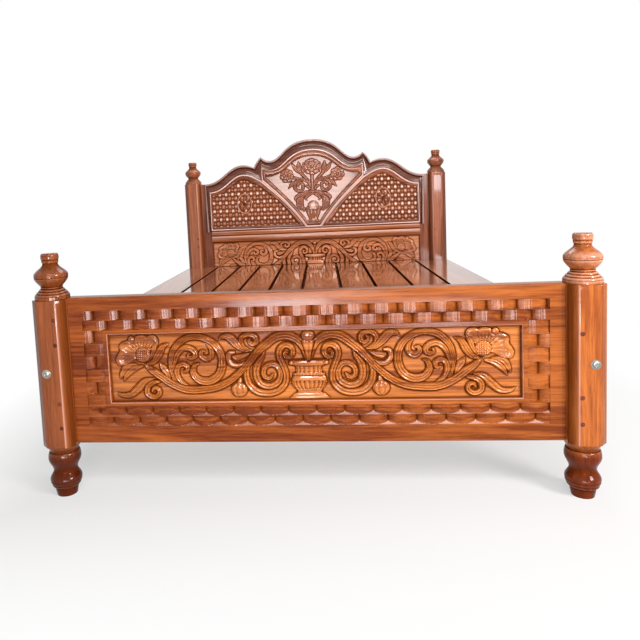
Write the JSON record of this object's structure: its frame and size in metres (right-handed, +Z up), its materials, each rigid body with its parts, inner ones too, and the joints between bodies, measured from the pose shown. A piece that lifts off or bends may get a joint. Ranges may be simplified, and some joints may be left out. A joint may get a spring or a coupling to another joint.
{
  "type": "carved wooden bed frame",
  "caption": "Carved teak bed frame with turned posts, a basket-weave footboard, an arched crest headboard and a plank deck.",
  "frame": {"origin": "on the floor under the middle of the bed, midway between the outer ends", "axes": "+X across the bed to the right seen from the footboard, +Y from the footboard to the headboard, +Z up"},
  "size_m": [1.575, 2.1116, 1.194],
  "materials": {
    "post_teak": "polished teak, gloss varnish",
    "footboard_teak": "carved teak, gloss varnish",
    "headboard_teak": "carved teak, gloss varnish",
    "deck_teak": "planed teak, high gloss varnish",
    "frame_teak": "teak, satin varnish",
    "peg_wood": "dark hardwood dowel",
    "bolt_chrome": "polished",
    "nut_steel": "zinc plated"
  },
  "bodies": {
    "root": {"crest_board": "headboard_teak", "crest_moulding_centre": "headboard_teak", "crest_moulding_left": "headboard_teak", "crest_moulding_right": "headboard_teak", "cross_bearer_1": "frame_teak", "cross_bearer_2": "frame_teak", "cross_bearer_3": "frame_teak", "deck_plank_01": "deck_teak", "deck_plank_02": "deck_teak", "deck_plank_03": "deck_teak", "deck_plank_04": "deck_teak", "deck_plank_05": "deck_teak", "deck_plank_06": "deck_teak", "deck_plank_07": "deck_teak", "deck_plank_08": "deck_teak", "deck_plank_09": "deck_teak", "deck_plank_10": "deck_teak", "foot_bolt_left": "bolt_chrome", "foot_bolt_right": "bolt_chrome", "foot_bottom_rail": "footboard_teak", "foot_nut_left": "nut_steel", "foot_nut_right": "nut_steel", "foot_panel": "footboard_teak", "foot_peg_left_1": "peg_wood", "foot_peg_left_2": "peg_wood", "foot_peg_left_3": "peg_wood", "foot_peg_left_4": "peg_wood", "foot_peg_right_1": "peg_wood", "foot_peg_right_2": "peg_wood", "foot_peg_right_3": "peg_wood", "foot_post_left": "post_teak", "foot_post_right": "post_teak", "foot_stile_left": "footboard_teak", "foot_stile_right": "footboard_teak", "foot_top_rail": "footboard_teak", "head_bolt_left": "bolt_chrome", "head_bolt_right": "bolt_chrome", "head_bottom_rail": "headboard_teak", "head_mid_rail": "headboard_teak", "head_nut_left": "nut_steel", "head_nut_right": "nut_steel", "head_peg_left_1": "peg_wood", "head_peg_left_2": "peg_wood", "head_peg_right_1": "peg_wood", "head_peg_right_2": "peg_wood", "head_post_left": "post_teak", "head_post_right": "post_teak", "head_scroll_panel": "headboard_teak", "head_stile_left": "headboard_teak", "head_stile_right": "headboard_teak", "lattice_frame_left": "headboard_teak", "lattice_frame_right": "headboard_teak", "lattice_panel_left": "headboard_teak", "lattice_panel_right": "headboard_teak", "medallion_left": "headboard_teak", "medallion_right": "headboard_teak", "shield_frame": "headboard_teak", "shield_panel": "headboard_teak", "side_rail_left": "frame_teak", "side_rail_right": "frame_teak"}
  },
  "joints": []
}
